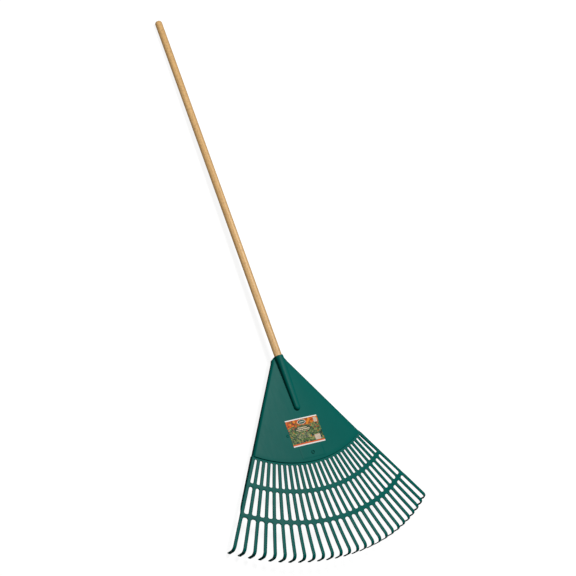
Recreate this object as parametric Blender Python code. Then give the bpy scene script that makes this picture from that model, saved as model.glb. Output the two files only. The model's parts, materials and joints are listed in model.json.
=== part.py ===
"""Leaf rake: a moulded fan head with 26 springy tines, on a round wooden handle.

The head is drawn in its own coordinates. The handle's axis is the Y axis, with the tines towards -Y and the
butt towards +Y, X runs across the fan and Z is up, away from the tips. The tines' centre lines are rays from
one apex, the origin, and every arc of the fan is centred on it. The head is then tipped a little about X, so
that the rake lies as it does on a lawn: on the butt of the handle and on its two outermost tine tips.
"""

import math

import bmesh
import bpy
from mathutils import Matrix, Vector

# Fan layout, in metres and radians. Radii are measured from the apex.
TINE_COUNT = 26
TINE_PITCH = math.radians(2.6)
EDGE_ANGLE = 0.5 * (TINE_COUNT - 1) * TINE_PITCH
STEP_RADIUS = 0.326
SLOT1_START = 0.332
SLOT1_END = 0.4005
SLOT2_START = 0.4115
SLOT2_END = 0.488
COMB_START = 0.499
COMB_ROUND = 0.0035
BEND_RADIUS = 0.580

# Tines.
TINE_WIDTH = 0.0088
TIP_WIDTH = 0.0080
TINE_THICK = 0.0032
TIP_THICK = 0.0026
TINE_BEND = 0.012
TINE_DROP = 0.0333

# Height of the fan's middle surface over the handle's axis.
PANEL_HEIGHT = -0.0024
RISE_START = 0.285
MIDDLE_RISE = 0.032
EDGE_HEIGHT = -0.0032
EDGE_DROP = 0.0096
EDGE_POWER = 0.75

# Panel. Its sides roll down into a flange, which also stiffens the outermost rib on each side.
PANEL_THICK = 0.0032
PANEL_FIRST_RADIUS = 0.040
EDGE_OFFSET = 0.009
EDGE_SLOPE = 0.619
SHOULDER_HALF = 0.0225
SHOULDER_Y = 0.0195
ROLL_WIDTH = 0.0065
ROLL_DROP = 0.0040
FLANGE_THICK = 0.0022
FLANGE_FOOT = 0.0028
FLANGE_MOUTH_DEPTH = 0.008
FLANGE_STEP_DEPTH = 0.016
FLANGE_SWEEP_RADIUS = 0.460
FLANGE_SWEEP_DEPTH = 0.012

# Socket and handle.
MOUTH_Y = 0.013
MOUTH_RADIUS = 0.0140
SOCKET_END_Y = 0.178
SOCKET_END_RADIUS = 0.0095
HANDLE_RADIUS = 0.0111
HANDLE_LENGTH = 1.219
HANDLE_INSERTED = 0.075
HANDLE_END_RADIUS = 0.0092
HANDLE_CHAMFER = 0.001
TAPER_DEPTH = 0.004
BUTT_ROUND = 0.0075
BUTT_FLAT = 0.0045

# Screw that holds the handle, from below.
SCREW_Y = 0.042
SCREW_RADIUS = 0.0018
SCREW_HEAD_RADIUS = 0.0040
SCREW_HEAD_HEIGHT = 0.0024
SCREW_DEPTH = 0.0075

# Label.
LABEL_WIDTH = 0.105
LABEL_LENGTH = 0.078
LABEL_Y = 0.2395
LABEL_THICK = 0.0003

GAP = 0.0003
ROUND_SEGMENTS = 32

BUTT_Y = HANDLE_LENGTH - HANDLE_INSERTED - MOUTH_Y
COMB_CORNER = COMB_START + COMB_ROUND
HINGE_RADIUS = COMB_CORNER + GAP + 0.5 * TINE_THICK


def fan_height(radius, angle):
    """Height of the fan's middle surface: its centre line rises towards the tips and its edges fall away."""
    rise = max(0.0, radius - RISE_START) / (BEND_RADIUS - RISE_START)
    middle = PANEL_HEIGHT + MIDDLE_RISE * rise**2
    edge = EDGE_HEIGHT - EDGE_DROP * (radius / BEND_RADIUS) ** EDGE_POWER
    across = math.sin(angle) / math.sin(EDGE_ANGLE)
    return middle + (edge - middle) * across**2


def fan_point(radius, angle):
    return radius * math.sin(angle), -radius * math.cos(angle)


def tine_angle(index):
    return (index - 0.5 * (TINE_COUNT - 1)) * TINE_PITCH


def outer_tip_point():
    """Middle of an outermost tine's tip: its distance along the handle's axis, and its height."""
    _, y = fan_point(BEND_RADIUS + TINE_BEND, EDGE_ANGLE)
    return y, fan_height(BEND_RADIUS, EDGE_ANGLE) - TINE_DROP


def resting_tilt():
    """Angle about X that brings the underside of the butt and the outermost tips to one level."""
    tip_y, tip_z = outer_tip_point()
    return math.atan2(tip_z + HANDLE_RADIUS, BUTT_Y - BUTT_ROUND - tip_y)


TILT = resting_tilt()


def clear_scene():
    for obj in list(bpy.data.objects):
        bpy.data.objects.remove(obj)


def make_material(name, color, roughness, metallic=0.0):
    material = bpy.data.materials.new(name)
    material.use_nodes = True
    shader = material.node_tree.nodes["Principled BSDF"]
    shader.inputs["Base Color"].default_value = (*color, 1.0)
    shader.inputs["Roughness"].default_value = roughness
    shader.inputs["Metallic"].default_value = metallic
    return material


def finish_mesh(name, bm, material, parent, smooth_angle=40.0):
    bmesh.ops.recalc_face_normals(bm, faces=bm.faces)
    mesh = bpy.data.meshes.new(name)
    bm.to_mesh(mesh)
    bm.free()
    mesh.shade_smooth()
    mesh.set_sharp_from_angle(angle=math.radians(smooth_angle))
    mesh.materials.append(material)
    obj = bpy.data.objects.new(name, mesh)
    obj.parent = parent
    bpy.context.collection.objects.link(obj)
    return obj


def sheet_solid(points, faces):
    """Closed bmesh of a sheet: points maps a key to (x, y, bottom, top), and each face is a list of keys."""
    bm = bmesh.new()
    low = {key: bm.verts.new((x, y, bottom)) for key, (x, y, bottom, top) in points.items()}
    high = {key: bm.verts.new((x, y, top)) for key, (x, y, bottom, top) in points.items()}
    sides = {}
    for face in faces:
        bm.faces.new([high[key] for key in face])
        bm.faces.new([low[key] for key in reversed(face)])
        for start, end in zip(face, face[1:] + face[:1]):
            if (end, start) in sides:
                del sides[end, start]
            else:
                sides[start, end] = True
    for start, end in sides:
        bm.faces.new([high[end], high[start], low[start], low[end]])
    return bm


def rings_solid(rings, segments):
    """Closed turned solid about the Y axis, from (y, radius) rings. Its ends are flat."""
    bm = bmesh.new()
    loops = []
    for y, radius in rings:
        loop = []
        for step in range(segments):
            turn = math.tau * step / segments
            loop.append(bm.verts.new((radius * math.sin(turn), y, radius * math.cos(turn))))
        loops.append(loop)
    for first, second in zip(loops, loops[1:]):
        for step in range(segments):
            after = (step + 1) % segments
            bm.faces.new([first[step], first[after], second[after], second[step]])
    bm.faces.new(loops[0])
    bm.faces.new(loops[-1])
    return bm


def add_boolean(obj, cutter, operation):
    modifier = obj.modifiers.new(cutter.name, "BOOLEAN")
    modifier.operation = operation
    modifier.solver = "EXACT"
    modifier.object = cutter
    cutter.hide_render = True
    cutter.display_type = "WIRE"


# Handle


def handle_rings():
    """(y, radius) down the handle, from its inner end to its butt."""
    inner = -MOUTH_Y - HANDLE_INSERTED
    rings = [(inner, HANDLE_END_RADIUS - HANDLE_CHAMFER), (inner + HANDLE_CHAMFER, HANDLE_END_RADIUS)]
    rings.append((-MOUTH_Y - TAPER_DEPTH, HANDLE_RADIUS))
    rings.append((BUTT_Y - BUTT_ROUND, HANDLE_RADIUS))
    steps = 5
    for step in range(1, steps + 1):
        turn = 0.5 * math.pi * step / steps
        radius = BUTT_FLAT + (HANDLE_RADIUS - BUTT_FLAT) * math.cos(turn)
        rings.append((BUTT_Y - BUTT_ROUND * (1.0 - math.sin(turn)), radius))
    return rings


def make_handle(parent, material):
    handle = finish_mesh("handle", rings_solid(handle_rings(), ROUND_SEGMENTS), material, parent, 30.0)
    add_boolean(handle, screw_hole("handle_hole", parent), "DIFFERENCE")
    return handle


# Screw


def screw_solid(head, shank, top):
    """Screw along Z: a pan head below the socket, and a shank that runs up to top."""
    seat = -socket_radius(SCREW_Y) - GAP
    profile = [(seat - SCREW_HEAD_HEIGHT, 0.6 * head), (seat - 0.6 * SCREW_HEAD_HEIGHT, head)]
    profile += [(seat, head), (seat, shank), (top - shank, shank), (top, 0.3 * shank)]
    bm = bmesh.new()
    segments = 16
    loops = []
    for z, radius in profile:
        turns = [math.tau * step / segments for step in range(segments)]
        loops.append([bm.verts.new((radius * math.cos(t), radius * math.sin(t), z)) for t in turns])
    for first, second in zip(loops, loops[1:]):
        for step in range(segments):
            after = (step + 1) % segments
            bm.faces.new([first[step], first[after], second[after], second[step]])
    bm.faces.new(loops[0])
    bm.faces.new(loops[-1])
    bmesh.ops.translate(bm, vec=(0.0, -SCREW_Y, 0.0), verts=bm.verts)
    return bm


def screw_top():
    return -handle_radius_at(SCREW_Y) + SCREW_DEPTH


def handle_radius_at(y):
    """Radius of the tapered stretch of handle inside the socket."""
    start = MOUTH_Y + TAPER_DEPTH
    end = MOUTH_Y + HANDLE_INSERTED - HANDLE_CHAMFER
    return HANDLE_RADIUS + (HANDLE_END_RADIUS - HANDLE_RADIUS) * (y - start) / (end - start)


def make_screw(parent, material):
    solid = screw_solid(SCREW_HEAD_RADIUS, SCREW_RADIUS, screw_top())
    return finish_mesh("handle_screw", solid, material, parent)


def screw_hole(name, parent):
    """Cutter for the screw's shank, with clearance all round."""
    bm = bmesh.new()
    low = -socket_radius(SCREW_Y) - SCREW_HEAD_HEIGHT
    high = screw_top() + GAP
    place = Matrix.Translation((0.0, -SCREW_Y, 0.5 * (low + high)))
    radius = SCREW_RADIUS + GAP
    bmesh.ops.create_cone(
        bm, cap_ends=True, segments=16, radius1=radius, radius2=radius, depth=high - low, matrix=place
    )
    return finish_mesh(name, bm, None, parent)


# Panel and socket


def socket_radius(y):
    """Outer radius of the socket, y along the fan from the apex."""
    along = (y - MOUTH_Y) / (SOCKET_END_Y - SOCKET_END_RADIUS - MOUTH_Y)
    return MOUTH_RADIUS + (SOCKET_END_RADIUS - MOUTH_RADIUS) * along


def socket_solid():
    dome_y = SOCKET_END_Y - SOCKET_END_RADIUS
    rings = [(-MOUTH_Y, MOUTH_RADIUS), (-dome_y, SOCKET_END_RADIUS)]
    steps = 4
    for step in range(1, steps):
        turn = 0.5 * math.pi * step / steps
        rings.append((-dome_y - SOCKET_END_RADIUS * math.sin(turn), SOCKET_END_RADIUS * math.cos(turn)))
    return rings_solid(rings, ROUND_SEGMENTS)


def bore_solid():
    """Bore for the handle's end: the handle's own shape with clearance, running out of the mouth."""
    rings = [(y, radius + GAP) for y, radius in handle_rings()[:3]]
    rings[0] = (rings[0][0] - GAP, rings[0][1])
    rings.append((0.0, HANDLE_RADIUS + GAP))
    return rings_solid(rings, ROUND_SEGMENTS)


def edge_angle_at(radius):
    """Angle of the panel's straight side where it crosses a circle about the apex."""
    square = 1.0 + EDGE_SLOPE**2
    y = (math.sqrt(radius**2 * square - EDGE_OFFSET**2) - EDGE_OFFSET * EDGE_SLOPE) / square
    return math.atan2(EDGE_OFFSET + EDGE_SLOPE * y, y)


def flange_depth(radius):
    """Depth of the side flange under the panel's or the rib's top, which runs out into the lower crossbar."""
    if radius < STEP_RADIUS:
        return FLANGE_MOUTH_DEPTH + (FLANGE_STEP_DEPTH - FLANGE_MOUTH_DEPTH) * radius / STEP_RADIUS
    if radius < FLANGE_SWEEP_RADIUS:
        along = (radius - STEP_RADIUS) / (FLANGE_SWEEP_RADIUS - STEP_RADIUS)
        return FLANGE_STEP_DEPTH + (FLANGE_SWEEP_DEPTH - FLANGE_STEP_DEPTH) * along
    along = min(1.0, (radius - FLANGE_SWEEP_RADIUS) / (SLOT2_END - FLANGE_SWEEP_RADIUS))
    return TINE_THICK + (FLANGE_SWEEP_DEPTH - TINE_THICK) * math.cos(0.5 * math.pi * along)


def panel_levels(inset, radius, height):
    """Bottom and top of the panel at a distance in from its side edge, from the height of the fan's surface."""
    rolled = max(0.0, 1.0 - inset / ROLL_WIDTH)
    top = height + PANEL_THICK - ROLL_DROP * rolled**2
    if inset < 0.5 * (FLANGE_THICK + FLANGE_FOOT):
        return height + PANEL_THICK - flange_depth(radius), top
    return top - PANEL_THICK, top


def panel_solid():
    """The panel's plate: arcs about the apex from the shoulders to the step, with a flange down each side."""
    row_count = 12
    column_count = 16
    insets = [0.0, FLANGE_THICK, FLANGE_FOOT, ROLL_WIDTH]
    depth = STEP_RADIUS - PANEL_FIRST_RADIUS
    radii = [PANEL_FIRST_RADIUS + depth * step / row_count for step in range(row_count + 1)]
    columns = 2 * len(insets) + column_count - 1
    points = {}
    for row, radius in enumerate([None] + radii):
        for column in range(columns):
            side = -1.0 if column < columns / 2 else 1.0
            from_edge = min(column, columns - 1 - column)
            share = (column - len(insets) + 1) / column_count
            if row == 0:
                if from_edge < len(insets):
                    x = side * (SHOULDER_HALF - insets[from_edge])
                else:
                    x = (2.0 * share - 1.0) * (SHOULDER_HALF - ROLL_WIDTH)
                slope = max(0.0, abs(x) - MOUTH_RADIUS) / (SHOULDER_HALF - MOUTH_RADIUS)
                y = -MOUTH_Y - (SHOULDER_Y - MOUTH_Y) * slope
            else:
                edge = edge_angle_at(radius)
                if from_edge < len(insets):
                    angle = side * (edge - insets[from_edge] / radius)
                else:
                    angle = (2.0 * share - 1.0) * (edge - ROLL_WIDTH / radius)
                x, y = fan_point(radius, angle)
            inset = insets[from_edge] if from_edge < len(insets) else 1.0
            height = fan_height(math.hypot(x, y), math.atan2(x, -y))
            points[row, column] = (x, y, *panel_levels(inset, math.hypot(x, y), height))
    faces = []
    for row in range(len(radii)):
        for column in range(columns - 1):
            corners = [(row, column), (row + 1, column), (row + 1, column + 1), (row, column + 1)]
            faces.append(corners)
    return sheet_solid(points, faces)


def make_panel(parent, material):
    panel = finish_mesh("head_panel", panel_solid(), material, parent, 30.0)
    socket = finish_mesh("socket_outside", socket_solid(), material, parent)
    bore = finish_mesh("socket_bore", bore_solid(), material, parent)
    add_boolean(panel, socket, "UNION")
    add_boolean(panel, bore, "DIFFERENCE")
    add_boolean(panel, screw_hole("socket_hole", parent), "DIFFERENCE")
    return panel


# Slotted grid


def slot_half_width(radius):
    return 0.5 * (radius * TINE_PITCH - TINE_WIDTH)


def web_edges():
    """Radii of each web between two tines: (start, start rounding, end, end rounding), rounding as a depth."""
    round_end = 0.6
    return [
        (STEP_RADIUS + GAP, 0.0, SLOT1_START, 1.0),
        (SLOT1_END, -round_end, SLOT2_START, 1.0),
        (SLOT2_END, -round_end, COMB_START, 0.75),
    ]


def web_radius(radius, rounding, across):
    """Radius of a web's edge at a place across the gap, -1 to 1, where its corners are rounded."""
    depth = rounding * slot_half_width(radius)
    if rounding >= 1.0:
        return radius + depth * (1.0 - math.sqrt(1.0 - across**2))
    return radius + depth * abs(across) ** 4


def grid_point(radius, angle, depth=TINE_THICK):
    x, y = fan_point(radius, angle)
    top = fan_height(radius, angle) + 0.5 * TINE_THICK
    return x, y, top - depth, top


def rib_columns(tine):
    """Places across a rib, -1 to 1, each with whether it is part of the flange of an outermost rib."""
    wall = 1.0 - 2.0 * FLANGE_THICK / TINE_WIDTH
    foot = 1.0 - 2.0 * FLANGE_FOOT / TINE_WIDTH
    if tine == 0:
        return [(-1.0, True), (-wall, True), (-foot, False), (1.0, False)]
    if tine == TINE_COUNT - 1:
        return [(-1.0, False), (foot, False), (wall, True), (1.0, True)]
    return [(-1.0, False), (0.0, False), (1.0, False)]


def grid_solid():
    """Tines and webs between the step and the free comb, one sheet with rows of slots left open."""
    webs = web_edges()
    stations = []
    spans = []
    for start, start_round, end, end_round in webs:
        corners = (web_radius(start, start_round, 1.0), web_radius(end, end_round, 1.0))
        if stations:
            last = stations[-1]
            pieces = 4
            stations += [last + (corners[0] - last) * step / pieces for step in range(1, pieces)]
        spans.append(len(stations))
        stations += corners
    stations[-1] = COMB_CORNER
    points = {}
    faces = []
    gap_steps = 6
    last_column = {}
    for tine in range(TINE_COUNT):
        columns = rib_columns(tine)
        last_column[tine] = len(columns) - 1
        for row, radius in enumerate(stations):
            for column, (side, on_flange) in enumerate(columns):
                angle = tine_angle(tine) + side * 0.5 * TINE_WIDTH / radius
                depth = flange_depth(radius) if on_flange else TINE_THICK
                points["tine", tine, row, column] = grid_point(radius, angle, depth)
        for row in range(len(stations) - 1):
            for column in range(len(columns) - 1):
                low = [("tine", tine, row, column), ("tine", tine, row + 1, column)]
                faces.append(low + [("tine", tine, row + 1, column + 1), ("tine", tine, row, column + 1)])
    for gap in range(TINE_COUNT - 1):
        middle = tine_angle(gap) + 0.5 * TINE_PITCH
        for row, (start, start_round, end, end_round) in zip(spans, webs):
            strips = []
            for step in range(gap_steps + 1):
                across = 2.0 * step / gap_steps - 1.0
                if step in (0, gap_steps):
                    tine, column = (gap, last_column[gap]) if step == 0 else (gap + 1, 0)
                    strips.append([("tine", tine, row, column), ("tine", tine, row + 1, column)])
                    continue
                strip = []
                for end_row, (radius, rounding) in enumerate(((start, start_round), (end, end_round))):
                    across = math.sin(0.5 * math.pi * across) if rounding >= 1.0 else across
                    at = web_radius(radius, rounding, across)
                    key = ("web", gap, row + end_row, step)
                    points[key] = grid_point(at, middle + across * slot_half_width(at) / at)
                    strip.append(key)
                strips.append(strip)
            for first, second in zip(strips, strips[1:]):
                faces.append([first[0], first[1], second[1], second[0]])
    return sheet_solid(points, faces)


def make_grid(parent, material):
    return finish_mesh("tine_grid", grid_solid(), material, parent, 30.0)


# Free tines


def tine_path(angle):
    """Centre line of a free tine from its hinge: (distance out, height, direction), then the bend and the tip."""
    base = fan_height(HINGE_RADIUS, angle)
    path = []
    steps = 5
    for step in range(steps + 1):
        radius = HINGE_RADIUS + (BEND_RADIUS - HINGE_RADIUS) * step / steps
        reach = 0.0005
        slope = (fan_height(radius + reach, angle) - fan_height(radius - reach, angle)) / (2.0 * reach)
        path.append((radius - HINGE_RADIUS, fan_height(radius, angle) - base, math.atan(slope)))
    out, height, lean = path[-1]
    tip_height = height - TINE_DROP
    centre_out = out + TINE_BEND * math.sin(lean)
    centre_height = height - TINE_BEND * math.cos(lean)
    bends = 6
    for step in range(1, bends + 1):
        turn = lean - (lean + 0.5 * math.pi) * step / bends
        x = centre_out - TINE_BEND * math.sin(turn)
        path.append((x, centre_height + TINE_BEND * math.cos(turn), turn))
    path.append((path[-1][0], tip_height, -0.5 * math.pi))
    return path


def tine_solid(angle):
    """A tine: a half-round root about its hinge, a flat blade and a bent tip, whose end is level on the ground."""
    path = tine_path(angle)
    bm = bmesh.new()
    rows = []

    def add_row(pairs, half_width):
        rows.append([[bm.verts.new((side * half_width, -out, z)) for out, z in pairs] for side in (-1, 1)])

    half = 0.5 * TINE_THICK
    lean = path[0][2]
    add_row([(-half * math.cos(lean), -half * math.sin(lean))], 0.5 * TINE_WIDTH)
    for turn in (math.radians(60.0), math.radians(30.0)):
        pairs = []
        for side in (1, -1):
            along = -half * math.sin(turn)
            up = side * half * math.cos(turn)
            out = along * math.cos(lean) - up * math.sin(lean)
            pairs.append((out, along * math.sin(lean) + up * math.cos(lean)))
        add_row(pairs, 0.5 * TINE_WIDTH)
    length = len(path) - 1
    for step, (out, height, turn) in enumerate(path):
        share = step / length
        half = 0.5 * (TINE_THICK + (TIP_THICK - TINE_THICK) * share)
        width = 0.5 * (TINE_WIDTH + (TIP_WIDTH - TINE_WIDTH) * share)
        across = (-half * math.sin(turn), half * math.cos(turn))
        pairs = [(out + across[0], height + across[1]), (out - across[0], height - across[1])]
        add_row(pairs, width)
    for side in (0, 1):
        for vert in rows[-1][side]:
            towards = -vert.co.x * math.sin(angle) - (vert.co.y + path[-1][0]) * math.cos(angle)
            vert.co.z += towards * math.tan(TILT)
    first = [rows[0][side][0] for side in (0, 1)]
    second = rows[1]
    for level in (0, 1):
        bm.faces.new([first[0], first[1], second[1][level], second[0][level]])
    for side in (0, 1):
        bm.faces.new([first[side], second[side][0], second[side][1]])
    for before, after in zip(rows[1:], rows[2:]):
        for level in (0, 1):
            bm.faces.new([before[0][level], before[1][level], after[1][level], after[0][level]])
        for side in (0, 1):
            bm.faces.new([before[side][0], before[side][1], after[side][1], after[side][0]])
    end = rows[-1]
    bm.faces.new([end[0][0], end[1][0], end[1][1], end[0][1]])
    return bm


def make_tine(index, parent, material):
    angle = tine_angle(index)
    tine = finish_mesh(f"tine_{index + 1:02d}", tine_solid(angle), material, parent, 30.0)
    x, y = fan_point(HINGE_RADIUS, angle)
    tine.location = (x, y, fan_height(HINGE_RADIUS, angle))
    tine.rotation_euler = (0.0, 0.0, angle)
    return tine


# Label


def make_label(parent, material):
    """Printed film on the panel, which follows the panel's crown."""
    across_steps = 10
    along_steps = 4
    points = {}
    for row in range(along_steps + 1):
        for column in range(across_steps + 1):
            x = LABEL_WIDTH * (column / across_steps - 0.5)
            y = -LABEL_Y + LABEL_LENGTH * (0.5 - row / along_steps)
            height = fan_height(math.hypot(x, y), math.atan2(x, -y)) + PANEL_THICK + GAP
            points[row, column] = (x, y, height, height + LABEL_THICK)
    faces = []
    for row in range(along_steps):
        for column in range(across_steps):
            faces.append([(row, column), (row + 1, column), (row + 1, column + 1), (row, column + 1)])
    return finish_mesh("label", sheet_solid(points, faces), material, parent)


def make_rake():
    tip_y, tip_z = outer_tip_point()
    lowest = tip_y * math.sin(TILT) + tip_z * math.cos(TILT)
    tip_reach = -(BEND_RADIUS + TINE_BEND) - 0.5 * TIP_THICK
    far = tip_reach * math.cos(TILT) - fan_height(BEND_RADIUS, 0.0) * math.sin(TILT)
    near = BUTT_Y * math.cos(TILT)
    frame = bpy.data.objects.new("rake_frame", None)
    frame.rotation_euler = (TILT, 0.0, 0.0)
    frame.location = Vector((0.0, -0.5 * (near + far), -lowest))
    bpy.context.collection.objects.link(frame)

    wood = make_material("ash_wood", (0.60, 0.42, 0.22), 0.55)
    plastic = make_material("green_plastic", (0.010, 0.125, 0.095), 0.42)
    print_film = make_material("printed_film", (0.45, 0.42, 0.12), 0.35)
    steel = make_material("zinc_steel", (0.62, 0.62, 0.60), 0.35, 1.0)

    make_handle(frame, wood)
    make_screw(frame, steel)
    make_panel(frame, plastic)
    make_grid(frame, plastic)
    make_label(frame, print_film)
    for index in range(TINE_COUNT):
        make_tine(index, frame, plastic)


clear_scene()
make_rake()
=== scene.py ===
"""Looks of the leaf rake: a moulded fan head with 26 springy tines, on a round wooden handle.

Pieces are drawn in the head's own coordinates, in metres: the handle's axis is Y, with the tines towards -Y,
X runs across the fan, Z is up, and the tines' centre lines are rays from one apex, the origin. TO_ROW then
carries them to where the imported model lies.
"""

import json
import math

import bmesh
import bpy
from mathutils import Matrix, Vector, kdtree, noise


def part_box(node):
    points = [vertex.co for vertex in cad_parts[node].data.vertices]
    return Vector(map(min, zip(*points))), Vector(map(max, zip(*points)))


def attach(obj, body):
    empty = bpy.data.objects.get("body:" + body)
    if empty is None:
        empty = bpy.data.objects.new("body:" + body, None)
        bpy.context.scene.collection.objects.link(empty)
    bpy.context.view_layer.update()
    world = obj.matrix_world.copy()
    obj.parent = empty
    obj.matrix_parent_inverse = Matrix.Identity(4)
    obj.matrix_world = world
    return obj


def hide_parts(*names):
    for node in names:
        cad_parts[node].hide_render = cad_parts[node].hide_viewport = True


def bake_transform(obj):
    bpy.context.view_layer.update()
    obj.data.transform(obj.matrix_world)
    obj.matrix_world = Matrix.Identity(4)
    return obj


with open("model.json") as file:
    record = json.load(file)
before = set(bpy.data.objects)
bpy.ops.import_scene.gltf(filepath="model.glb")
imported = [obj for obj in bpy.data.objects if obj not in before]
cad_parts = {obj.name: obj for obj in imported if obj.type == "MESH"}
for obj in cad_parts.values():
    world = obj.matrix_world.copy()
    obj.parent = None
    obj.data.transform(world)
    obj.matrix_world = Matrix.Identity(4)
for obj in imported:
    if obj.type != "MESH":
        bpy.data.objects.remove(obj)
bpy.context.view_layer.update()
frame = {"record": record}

MOUNTS = {mount["name"]: mount for mount in frame["record"]["mounts"]}

# Fan layout.
TINE_COUNT = 26
TINE_PITCH = math.radians(2.6)
EDGE_ANGLE = 0.5 * (TINE_COUNT - 1) * TINE_PITCH
STEP_RADIUS = 0.326
SLOT1_START = 0.332
SLOT1_END = 0.4005
SLOT2_START = 0.4115
SLOT2_END = 0.488
COMB_START = 0.499
COMB_ROUND = 0.0035
BEND_RADIUS = 0.580

# Tines. The ribs, a free tine's root and its tip are 0.5 to 1.1 mm wider than in the CAD, so that they look
# as wide as the real ones against the white floor. TINE_ROOT has the sections buried in the crossbar, as
# (depth, size).
TINE_WIDTH = 0.0093
SPRING_WIDTH = 0.0097
TIP_WIDTH = 0.0091
TINE_THICK = 0.0032
TIP_THICK = 0.0026
TINE_BEND = 0.012
TINE_DROP = 0.0333
RIM = 0.0009
LOW_RIM = 0.0005
CROWN = 0.0005
CROWN_WIDTH = 0.0042
TINE_ROOT = ((0.003, 0.86), (0.0002, 0.97))

# Height of the fan's middle surface over the handle's axis.
PANEL_HEIGHT = -0.0024
RISE_START = 0.285
MIDDLE_RISE = 0.032
EDGE_HEIGHT = -0.0032
EDGE_DROP = 0.0096
EDGE_POWER = 0.75

# Panel, its rolled sides and their flanges.
PANEL_THICK = 0.0032
PANEL_FIRST_RADIUS = 0.040
EDGE_OFFSET = 0.009
EDGE_SLOPE = 0.619
SHOULDER_HALF = 0.0225
SHOULDER_Y = 0.0195
ROLL_WIDTH = 0.0065
ROLL_DROP = 0.0040
PANEL_RIM = 0.0012
FLANGE_RIM = 0.0018
MOUTH_RIM = 0.0006
FLANGE_THICK = 0.0022
FLANGE_FOOT = 0.0028
FLANGE_MOUTH_DEPTH = 0.008
FLANGE_STEP_DEPTH = 0.016
FLANGE_SWEEP_RADIUS = 0.460
FLANGE_SWEEP_DEPTH = 0.012
STEP_LAP = 0.003
STEP_GROOVE = 0.0016
STEP_GROOVE_WIDTH = 0.0035

# Socket, handle and screw.
MOUTH_Y = 0.013
MOUTH_RADIUS = 0.0140
SOCKET_END_Y = 0.178
SOCKET_END_RADIUS = 0.0095
SOCKET_FILLET = 0.0030
MOUTH_POWER = 2.0
SOCKET_POWER = 2.9
MOUTH_BLEND = 0.030
TAPER_START = 0.004
HANDLE_RADIUS = 0.0111
HANDLE_LENGTH = 1.219
HANDLE_INSERTED = 0.075
HANDLE_END_RADIUS = 0.0092
HANDLE_CHAMFER = 0.001
HANDLE_WAVINESS = 0.00018
BUTT_ROUND = 0.0075
BUTT_FLAT = 0.0045
BUTT_Y = HANDLE_LENGTH - HANDLE_INSERTED - MOUTH_Y
SCREW_Y = 0.042
SCREW_RADIUS = 0.0018
SCREW_HEAD_RADIUS = 0.0040
SCREW_HEAD_HEIGHT = 0.0024
RECESS_SIZE = (0.0042, 0.0009, 0.0026)
GAP = 0.0003

# Mould marks on the panel: rings as (x, distance towards the tines, radius, height), and the raised pad.
RING_MARKS = ((0.0008, 0.3017, 0.0056, 0.0026), (-0.0585, 0.2428, 0.0044, 0.0010))
PAD_HALF_WIDTH = 0.038
PAD_START = 0.283
PAD_END = 0.316
PAD_RAISE = 0.0004

# Label.
LABEL_WIDTH = 0.105
LABEL_LENGTH = 0.078
LABEL_Y = 0.2395
LABEL_THICK = 0.0002

# Floor: its profile as (reach, height), how far it lies under the part, and its glow.
FLOOR_PROFILE = ((4.0, 0.0), (16.0, 0.0), (20.0, 0.4), (23.0, 1.8), (25.0, 5.0), (26.0, 12.0))
FLOOR_DROP = 0.0004
FLOOR_GLOW = 0.90

# Lights: place in the head's coordinates, direction, distance, size and power.
TOP_LIGHT = ((0.0, -0.25, 0.0), (0.26, 0.34, 0.90), 3.6, 1.7, 118.0)
HANDLE_LIGHT = ((0.0, 0.6, 0.0), (-0.85, 0.0, 0.50), 2.5, 2.0, 34.0)
WORLD_STRENGTH = 0.10

# Camera.
CAMERA_LENS = 75.0
CAMERA_PLACE = Vector((-1.7618, -0.8841, 2.7667))
CAMERA_RIGHT = Vector((0.8360, -0.3301, 0.4383))
CAMERA_UP = Vector((0.1264, 0.8932, 0.4315))


def head_to_row():
    """Where the head lies in the row's frame, from the flat end of the handle."""
    butt = MOUNTS["butt_face"]
    axis = Vector(butt["axis"])
    turn = Matrix.Rotation(math.atan2(axis.z, axis.y), 4, "X")
    return Matrix.Translation(Vector(butt["pos_m"]) - turn @ Vector((0.0, BUTT_Y, 0.0))) @ turn


TO_ROW = head_to_row()


# Shape of the fan


def fan_height(radius, angle):
    """Height of the fan's middle surface: its centre line rises towards the tips and its edges fall away."""
    rise = max(0.0, radius - RISE_START) / (BEND_RADIUS - RISE_START)
    middle = PANEL_HEIGHT + MIDDLE_RISE * rise**2
    edge = EDGE_HEIGHT - EDGE_DROP * (radius / BEND_RADIUS) ** EDGE_POWER
    across = math.sin(angle) / math.sin(EDGE_ANGLE)
    return middle + (edge - middle) * across**2


def height_at(x, y):
    return fan_height(math.hypot(x, y), math.atan2(x, -y))


def fan_point(radius, angle):
    return radius * math.sin(angle), -radius * math.cos(angle)


def tine_angle(index):
    return (index - 0.5 * (TINE_COUNT - 1)) * TINE_PITCH


def flange_depth(radius):
    if radius < STEP_RADIUS:
        return FLANGE_MOUTH_DEPTH + (FLANGE_STEP_DEPTH - FLANGE_MOUTH_DEPTH) * radius / STEP_RADIUS
    if radius < FLANGE_SWEEP_RADIUS:
        along = (radius - STEP_RADIUS) / (FLANGE_SWEEP_RADIUS - STEP_RADIUS)
        return FLANGE_STEP_DEPTH + (FLANGE_SWEEP_DEPTH - FLANGE_STEP_DEPTH) * along
    along = min(1.0, (radius - FLANGE_SWEEP_RADIUS) / (SLOT2_END - FLANGE_SWEEP_RADIUS))
    return TINE_THICK + (FLANGE_SWEEP_DEPTH - TINE_THICK) * math.cos(0.5 * math.pi * along)


def spread(start, end, count):
    """count + 1 evenly spaced values, from start to end."""
    return [start + (end - start) * step / count for step in range(count + 1)]


# Mesh helpers


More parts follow.
